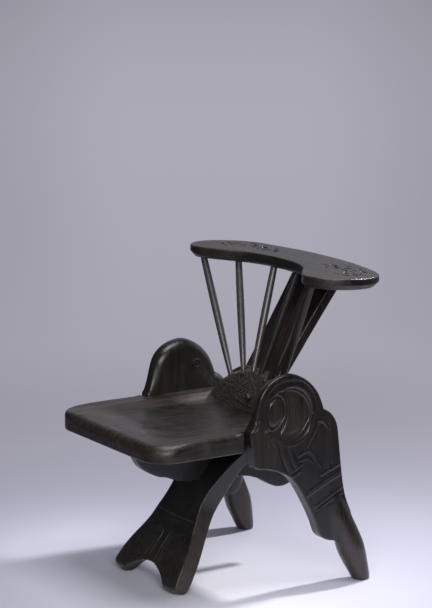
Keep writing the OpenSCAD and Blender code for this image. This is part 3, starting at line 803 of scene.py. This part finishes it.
def wood(name, dark, brown, grain="Z", rough=(0.30, 0.50), wear_and_sheen=0.55, stretch=26.0,
         attributes=True, seed=0.0, pores=1.0, coat=0.45, mottle=0.35,
         dull=0.0, grainy=0.18, bump=0.0018, blotch=0.0, spec=0.5, hollow_shade_strength=0.75):
    """Stained wood: streaked colour along the grain, pores and rubbed places, worn edges lightened partly as painted
    highlight, and hollows darkened as painted shade.
    """
    m = bpy.data.materials.new(name)
    m.use_nodes = True
    nt = m.node_tree
    nt.nodes.clear()
    N, Lk = nt.nodes, nt.links

    def new(kind, **k):
        n = N.new(kind)
        for a, b in k.items():
            setattr(n, a, b)
        return n

    def link(a, b):
        Lk.new(a, b)

    def math_(op, a, b=None, c=None, clamp=False):
        n = new("ShaderNodeMath", operation=op, use_clamp=clamp)
        for i, q in enumerate((a, b, c)):
            if q is None:
                continue
            if isinstance(q, (int, float)):
                n.inputs[i].default_value = q
            else:
                link(q, n.inputs[i])
        return n.outputs[0]

    def ramp(src, stops):
        n = new("ShaderNodeValToRGB")
        e = n.color_ramp.elements
        while len(e) < len(stops):
            e.new(0.5)
        for q, (pos, col) in zip(e, stops):
            q.position = pos
            q.color = (*col, 1) if len(col) == 3 else col
        link(src, n.inputs[0])
        return n.outputs[0]

    def mix(fac, a, b, mode="MIX"):
        n = new("ShaderNodeMix", data_type="RGBA", blend_type=mode)
        for sock, q in ((n.inputs[0], fac), (n.inputs[6], a), (n.inputs[7], b)):
            if isinstance(q, (int, float)):
                sock.default_value = q
            elif isinstance(q, tuple):
                sock.default_value = (*q, 1)
            else:
                link(q, sock)
        return n.outputs[2]

    out = new("ShaderNodeOutputMaterial")
    bsdf = new("ShaderNodeBsdfPrincipled")
    link(bsdf.outputs[0], out.inputs[0])
    tc = new("ShaderNodeTexCoord").outputs["Object"]

    def mapped(scale, off=(0, 0, 0)):
        n = new("ShaderNodeMapping")
        n.inputs["Scale"].default_value = scale
        n.inputs["Location"].default_value = off
        link(tc, n.inputs[0])
        return n.outputs[0]

    along = {"X": (1.0, stretch, stretch), "Y": (stretch, 1.0, stretch),
             "Z": (stretch, stretch, 1.0)}[grain]

    def noise(vec, scale, detail=4.0, rough_=0.55, dist=0.0):
        n = new("ShaderNodeTexNoise")
        n.inputs["Scale"].default_value = scale
        n.inputs["Detail"].default_value = detail
        n.inputs["Roughness"].default_value = rough_
        n.inputs["Distortion"].default_value = dist
        link(vec, n.inputs["Vector"])
        return n.outputs["Fac"]

    off = (seed, seed * 1.7, seed * 0.6)
    streak = noise(mapped(tuple(q * 1.0 for q in along), off), 3.0, 6.0, 0.6, 0.6)
    fine = noise(mapped(tuple(q * 3.2 for q in along), off), 7.0, 3.0, 0.6, 0.2)
    cloud = noise(mapped((1, 1, 1), off), 5.5, 4.0, 0.6, 0.4)
    grit = noise(mapped((1, 1, 1), off), 340.0, 2.0, 0.6)
    pore = noise(mapped(tuple(q * 6.0 for q in along), off), 9.0, 2.0, 0.5)

    base = ramp(streak, [(0.30, tuple(q * 0.62 for q in dark)), (0.52, dark),
                         (0.72, tuple(q * 1.45 for q in dark))])
    warm = ramp(streak, [(0.28, tuple(q * 0.60 for q in brown)), (0.55, brown),
                         (0.75, tuple(q * 1.25 for q in brown))])
    patch = math_("MULTIPLY_ADD", math_("SUBTRACT", cloud, 0.47), 3.0, 0.0, clamp=True)
    col = mix(math_("MULTIPLY", patch, mottle), base, warm)
    if blotch:
        # patches of a hand's breadth and less, olive brown where the stain is thin
        spot = noise(mapped(tuple(0.6 + 0.4 * q / stretch for q in along), off), 34.0, 5.0, 0.62, 0.8)
        col = mix(math_("MULTIPLY", math_("MULTIPLY_ADD", spot, 4.5, -2.1, clamp=True), blotch), col,
                  tuple(q * s for q, s in zip(brown, (1.50, 1.52, 1.26))))
        col = mix(math_("MULTIPLY", math_("MULTIPLY_ADD", spot, -5.0, 2.2, clamp=True), 0.7 * blotch), col,
                  tuple(q * 0.45 for q in dark))
    if attributes:
        curvature = new("ShaderNodeAttribute", attribute_name="wear_and_sheen").outputs["Fac"]
        rb = new("ShaderNodeAttribute", attribute_name="rub").outputs["Fac"]
        broken = math_("MULTIPLY_ADD", fine, 1.1, 0.25)
        col = mix(math_("MULTIPLY", math_("MULTIPLY", rb, broken), 0.85, clamp=True), col, warm)
        # worn edges: convex places lightened towards a brown-grey, partly as wear and partly as painted highlight
        edge = math_("MULTIPLY", math_("MULTIPLY", math_("MAXIMUM", curvature, 0.0), broken), wear_and_sheen, clamp=True)
        col = mix(edge, col, tuple(0.55 * q + 1.5 * d for q, d in zip(brown, dark)))
        # painted shade: hollows (negative curvature) are darkened towards a third of the dark colour
        painted_hollow_shade = math_("MULTIPLY", math_("MAXIMUM", math_("MULTIPLY", curvature, -1.0), 0.0), hollow_shade_strength, clamp=True)
        col = mix(painted_hollow_shade, col, tuple(q * 0.30 for q in dark))
    col = mix(math_("MULTIPLY", math_("MULTIPLY_ADD", fine, 2.6, -1.0, clamp=True), 0.50),
              col, tuple(q * 2.2 for q in dark))
    col = mix(math_("MULTIPLY", math_("MULTIPLY_ADD", pore, -5.0, 2.1, clamp=True), 0.6),
              col, tuple(q * 0.25 for q in dark))
    link(col, bsdf.inputs["Base Color"])
    r = math_("MULTIPLY_ADD", cloud, (rough[1] - rough[0]) * 1.6, rough[0] - 0.3 * (rough[1] - rough[0]))
    r = math_("MULTIPLY_ADD", math_("SUBTRACT", fine, 0.5), 0.22, r, clamp=True)
    r = math_("MULTIPLY_ADD", math_("SUBTRACT", streak, 0.5), grainy * 2.4, r, clamp=True)
    if blotch:
        r = math_("MULTIPLY_ADD", math_("SUBTRACT", spot, 0.5), 0.9 * blotch, r, clamp=True)
    if attributes:
        r = math_("MULTIPLY_ADD", math_("MAXIMUM", curvature, 0.0), -0.14, r, clamp=True)
        if dull:
            r = math_("MULTIPLY_ADD", rb, dull, r, clamp=True)
    link(r, bsdf.inputs["Roughness"])
    bsdf.inputs["IOR"].default_value = 1.5
    bsdf.inputs["Specular IOR Level"].default_value = spec
    bsdf.inputs["Coat Weight"].default_value = coat
    bsdf.inputs["Coat Roughness"].default_value = 0.22
    h = math_("ADD", math_("MULTIPLY", streak, 0.5), math_("MULTIPLY", fine, 0.35))
    h = math_("ADD", h, math_("MULTIPLY", pore, 0.25 * pores))
    h = math_("ADD", h, math_("MULTIPLY", grit, 0.06))
    b = new("ShaderNodeBump")
    b.inputs["Strength"].default_value = 0.55
    b.inputs["Distance"].default_value = bump
    link(h, b.inputs["Height"])
    link(b.outputs[0], bsdf.inputs["Normal"])
    return m


DARK = (0.0078, 0.0070, 0.0069)
BROWN = (0.052, 0.036, 0.0265)
m_panel = wood("panel_wood", (0.0100, 0.0085, 0.0074), (0.056, 0.039, 0.028), "Z", (0.29, 0.45), seed=1.3,
               coat=0.20, bump=0.0008, hollow_shade_strength=0.55)
m_seat = wood("seat_wood", (0.0088, 0.0077, 0.0068), (0.054, 0.034, 0.0225), "Y", (0.30, 0.50), seed=4.1,
              coat=0.15, mottle=0.85, dull=0.14, pores=1.4, grainy=0.40, bump=0.0022, blotch=0.52)
m_leg = wood("leg_wood", (0.0092, 0.0088, 0.0085), (0.078, 0.060, 0.049), "Z", (0.30, 0.48), seed=7.7,
             coat=0.2, wear_and_sheen=0.25, blotch=0.15)
m_boss = wood("boss_wood", (0.0300, 0.0290, 0.0245), (0.100, 0.066, 0.049), "X", (0.36, 0.54), seed=2.9,
              coat=0.35, wear_and_sheen=0.8)
m_splat = wood("splat_wood", (0.0100, 0.0084, 0.0076), (0.058, 0.033, 0.021), "Z", (0.36, 0.52), seed=5.2,
               grainy=0.25, coat=0.08, blotch=0.25)
m_crest = wood("crest_wood", (0.0080, 0.0076, 0.0075), BROWN, "X", (0.34, 0.50), seed=9.4, coat=0.08,
               grainy=0.3, bump=0.0022)
# two copies of the spindle wood: a lighter one whose base colour is a painted sheen, and a darker one that is
# painted shade
m_spin_painted_light = wood("spindle_wood", (0.050, 0.047, 0.043), (0.078, 0.056, 0.043), "Z", (0.33, 0.46), attributes=False,
              seed=3.3, stretch=60, coat=0.8, bump=0.0008)
m_spin_painted_shade = wood("spindle_wood_painted_shade", (0.015, 0.013, 0.0115), (0.046, 0.031, 0.022), "Z", (0.38, 0.54),
                  attributes=False, seed=3.9, stretch=60, coat=0.12, bump=0.0008)
m_stud = wood("stud_wood", (0.020, 0.018, 0.016), BROWN, "Z", attributes=False, seed=6.6, stretch=40)
m_plug = wood("plug_wood", (0.0110, 0.0098, 0.0092), BROWN, "Z", (0.62, 0.78), attributes=False,
              seed=6.1, stretch=40, coat=0.0, spec=0.35)
m_dowel = wood("dowel_wood", (0.30, 0.21, 0.13), (0.36, 0.25, 0.15), "X", (0.5, 0.7),
               attributes=False, seed=8.8, stretch=40, coat=0.0)


def paint(ob, m):
    ob.data.materials.clear()
    ob.data.materials.append(m)


for ob, m in ((panel_right, m_panel), (panel_left, m_panel), (seat_ob, m_seat),
              (leg_ob, m_leg), (spine_ob, m_leg), (boss_ob, m_boss),
              (splat_ob, m_splat), (crest_ob, m_crest)):
    paint(ob, m)
for n, ob in nodes.items():
    if n.startswith("spindle"):
        # spindles on the right side get the painted shade copy, the others the painted sheen copy
        paint(ob, m_spin_painted_shade if n.endswith("right") else m_spin_painted_light)
    elif n in ("boss_studs", "boss_button"):
        paint(ob, m_stud)
    elif n == "hump_plugs":
        paint(ob, m_plug)
    elif n in ("boss_dowels", "spine_dowels"):
        paint(ob, m_dowel)
    ob.data.polygons.foreach_set("use_smooth", np.ones(len(ob.data.polygons), bool)) \
        if n.startswith("spindle_") else None


# ------------------------------------------------------------- floor and light

def stage_floor():
    me = bpy.data.meshes.new("floor")
    n = 96
    rings = [0.0, 0.6, 1.2, 1.8, 2.6, 4, 7, 14, 40]
    v = [(0, 0, -0.0003)]
    f = []
    for i, r in enumerate(rings[1:]):
        for k in range(n):
            t = 2 * math.pi * k / n
            v.append((r * math.cos(t), r * math.sin(t), -0.0003))
        for k in range(n):
            a, b = 1 + i * n + k, 1 + i * n + (k + 1) % n
            if i == 0:
                f.append((0, a, b))
            else:
                f.append((a - n, a, b, b - n))
    me.from_pydata(v, [], f)
    ob = bpy.data.objects.new("floor", me)
    bpy.context.scene.collection.objects.link(ob)
    m = bpy.data.materials.new("floor_paper_painted_light")
    m.use_nodes = True
    nt = m.node_tree
    b = nt.nodes["Principled BSDF"]
    tc = nt.nodes.new("ShaderNodeTexCoord")
    mv = nt.nodes.new("ShaderNodeVectorMath")
    mv.operation = "SUBTRACT"
    mv.inputs[1].default_value = (0.12, -0.10, 0)
    nt.links.new(tc.outputs["Object"], mv.inputs[0])
    ln = nt.nodes.new("ShaderNodeVectorMath")
    ln.operation = "LENGTH"
    nt.links.new(mv.outputs[0], ln.inputs[0])
    mr = nt.nodes.new("ShaderNodeMapRange")
    mr.inputs["From Min"].default_value = 0.0
    mr.inputs["From Max"].default_value = 10.0
    nt.links.new(ln.outputs["Value"], mr.inputs["Value"])

    def ramp(stops):
        cr = nt.nodes.new("ShaderNodeValToRGB")
        cr.color_ramp.interpolation = "B_SPLINE"
        e = cr.color_ramp.elements
        while len(e) < len(stops):
            e.new(0.5)
        for q, (pos, col) in zip(e, stops):
            q.position = pos / 10
            q.color = (*col, 1)
        nt.links.new(mr.outputs[0], cr.inputs[0])
        return cr.outputs[0]

    # painted light: the floor colour fades with distance as a painted pool of light, and its emission is a painted
    # glow that makes the floor further off stand as a backdrop
    nt.links.new(ramp(FLOOR_PAINTED_POOL), b.inputs["Base Color"])
    nt.links.new(ramp(FLOOR_PAINTED_GLOW), b.inputs["Emission Color"])
    def fdot(v):
        n = nt.nodes.new("ShaderNodeVectorMath")
        n.operation = "DOT_PRODUCT"
        n.inputs[1].default_value = v
        nt.links.new(tc.outputs["Object"], n.inputs[0])
        return n.outputs["Value"]

    def fmath(op, x, y=None, z=None):
        n = nt.nodes.new("ShaderNodeMath")
        n.operation = op
        for k, q in enumerate((x, y, z)):
            if isinstance(q, (int, float)):
                n.inputs[k].default_value = q
            elif q is not None:
                nt.links.new(q, n.inputs[k])
        return n.outputs[0]

    def fstep(x, a, c, lo, hi):
        n = nt.nodes.new("ShaderNodeMapRange")
        n.interpolation_type = "SMOOTHSTEP"
        for k, q in (("From Min", a), ("From Max", c), ("To Min", lo), ("To Max", hi)):
            n.inputs[k].default_value = q
        nt.links.new(x, n.inputs["Value"])
        return n.outputs[0]

    # the painted glow fades at the sides as a painted vignette, dims far off, and is lifted on the right close by
    deep = fdot((-0.843, 0.538, 0))
    wide = fmath("ABSOLUTE", fdot((0.538, 0.843, 0)))
    ratio = fmath("DIVIDE", wide, fmath("MULTIPLY_ADD", fmath("MAXIMUM", deep, 0.0), 0.0897, 0.56))
    painted_glow = fmath("MULTIPLY", fstep(ratio, 1.25, 2.6, 1.0, 0.10), fstep(deep, -0.2, 0.7, 0.15, 1.0))
    painted_vignette = fmath("SUBTRACT", 1.0, fmath("MULTIPLY", fstep(ratio, 0.35, 1.15, 0.0, 0.17),
                                        fstep(deep, 1.0, 6.0, 0.35, 1.0)))
    far = fstep(deep, 7.0, 26.0, 1.0, 0.84)
    painted_lift = fmath("MULTIPLY_ADD", fmath("MULTIPLY", fstep(fdot((0.538, 0.843, 0)), 0.35, 0.8, 0.0, 1.0),
                                       fstep(deep, 1.2, 3.5, 1.0, 0.0)), 0.12, 1.0)
    nt.links.new(fmath("MULTIPLY", fmath("MULTIPLY", painted_glow, painted_vignette), fmath("MULTIPLY", far, painted_lift)),
                 b.inputs["Emission Strength"])
    b.inputs["Roughness"].default_value = 0.75
    b.inputs["Specular IOR Level"].default_value = 0.1
    me.materials.append(m)
    return ob


# pale floor close by whose colour fades with distance as a painted pool of light, running into a painted glowing
# backdrop further off
FLOOR_PAINTED_POOL = [(0.0, (0.93, 0.93, 1.0)), (0.35, (0.79, 0.79, 0.93)), (0.72, (0.53, 0.53, 0.645)),
              (1.05, (0.29, 0.29, 0.35)),
              (1.5, (0.06, 0.06, 0.07)), (2.2, (0.0, 0.0, 0.0))]
FLOOR_PAINTED_GLOW = [(0.0, (0.0, 0.0, 0.0)), (0.75, (0.0, 0.0, 0.0)), (1.1, (0.14, 0.136, 0.165)),
              (1.5, (0.30, 0.292, 0.345)), (3.0, (0.385, 0.375, 0.44)), (10.0, (0.405, 0.395, 0.46))]
stage_floor()


def area(name, loc, target, size, power, color=(1, 1, 1)):
    d = bpy.data.lights.new(name, "AREA")
    d.shape = "RECTANGLE"
    d.size, d.size_y = size
    d.energy = power
    d.color = color
    ob = bpy.data.objects.new(name, d)
    ob.location = loc
    ob.rotation_mode = "QUATERNION"
    ob.rotation_quaternion = (Vector(target) - Vector(loc)).to_track_quat("-Z", "Y")
    bpy.context.scene.collection.objects.link(ob)
    return ob


area("key", (0.05, 2.02, 2.5), (0, 0, 0.1), (0.24, 0.24), 67, (1.0, 0.99, 0.99))
area("front", (2.55, -1.45, 1.75), (0.05, -0.05, 0.45), (2.1, 1.25), 50, (0.99, 0.99, 1.0))
area("overhead", (0.42, -0.1, 2.8), (0.05, -0.05, 0.4), (1.3, 1.3), 34, (0.98, 0.98, 1.0))

world = bpy.data.worlds.new("studio")
bpy.context.scene.world = world
world.use_nodes = True
wn = world.node_tree.nodes
wl = world.node_tree.links


def wnode(kind, **k):
    n = wn.new(kind)
    for a, b in k.items():
        setattr(n, a, b)
    return n


def wrange(src, a, b):
    n = wnode("ShaderNodeMapRange", interpolation_type="SMOOTHSTEP")
    n.inputs["From Min"].default_value = a
    n.inputs["From Max"].default_value = b
    wl.new(src, n.inputs["Value"])
    return n.outputs["Result"]


def wmath(op, a, b):
    n = wnode("ShaderNodeMath", operation=op)
    for i, q in enumerate((a, b)):
        if isinstance(q, (int, float)):
            n.inputs[i].default_value = q
        else:
            wl.new(q, n.inputs[i])
    return n.outputs[0]


tc = wnode("ShaderNodeTexCoord")
dot = wnode("ShaderNodeVectorMath", operation="DOT_PRODUCT")
dot.inputs[1].default_value = (-0.45, 0.85, 0.25)
wl.new(tc.outputs["Generated"], dot.inputs[0])
sep = wnode("ShaderNodeSeparateXYZ")
wl.new(tc.outputs["Generated"], sep.inputs[0])
back = wrange(dot.outputs["Value"], 0.30, 0.86)
high = wrange(sep.outputs["Z"], 0.15, 0.65)
lum = wmath("ADD", wmath("MULTIPLY", back, wmath("ADD", wmath("MULTIPLY", high, 0.10), 0.33)), 0.030)
tint = wnode("ShaderNodeVectorMath", operation="SCALE")
tint.inputs[0].default_value = (1.0, 0.98, 1.13)
wl.new(lum, tint.inputs["Scale"])
wl.new(tint.outputs[0], wn["Background"].inputs[0])
wn["Background"].inputs[1].default_value = 1.0

bpy.context.scene.view_settings.view_transform = "Standard"
bpy.context.scene.view_settings.look = "None"
bpy.context.scene.view_settings.exposure = 0.0
bpy.context.scene.view_settings.gamma = 1.0


# ------------------------------------------------------------- camera

az, el = math.radians(57.423), math.radians(11.055)
fwd = Vector((-math.sin(az) * math.cos(el), math.cos(az) * math.cos(el), -math.sin(el)))
right = Vector((math.cos(az), math.sin(az), 0))
up = right.cross(fwd)
cam_data = bpy.data.cameras.new("camera")
cam_data.sensor_width = 36
cam_data.lens = 142.42
cam_data.clip_start, cam_data.clip_end = 0.1, 200
cam = bpy.data.objects.new("camera", cam_data)
cam.matrix_world = Matrix(((right.x, up.x, -fwd.x, 5.0180),
                           (right.y, up.y, -fwd.y, -3.1345 + SHIFT / 1000),
                           (right.z, up.z, -fwd.z, 1.8575), (0, 0, 0, 1)))
bpy.context.scene.collection.objects.link(cam)
bpy.context.scene.camera = cam

bpy.context.view_layer.update()
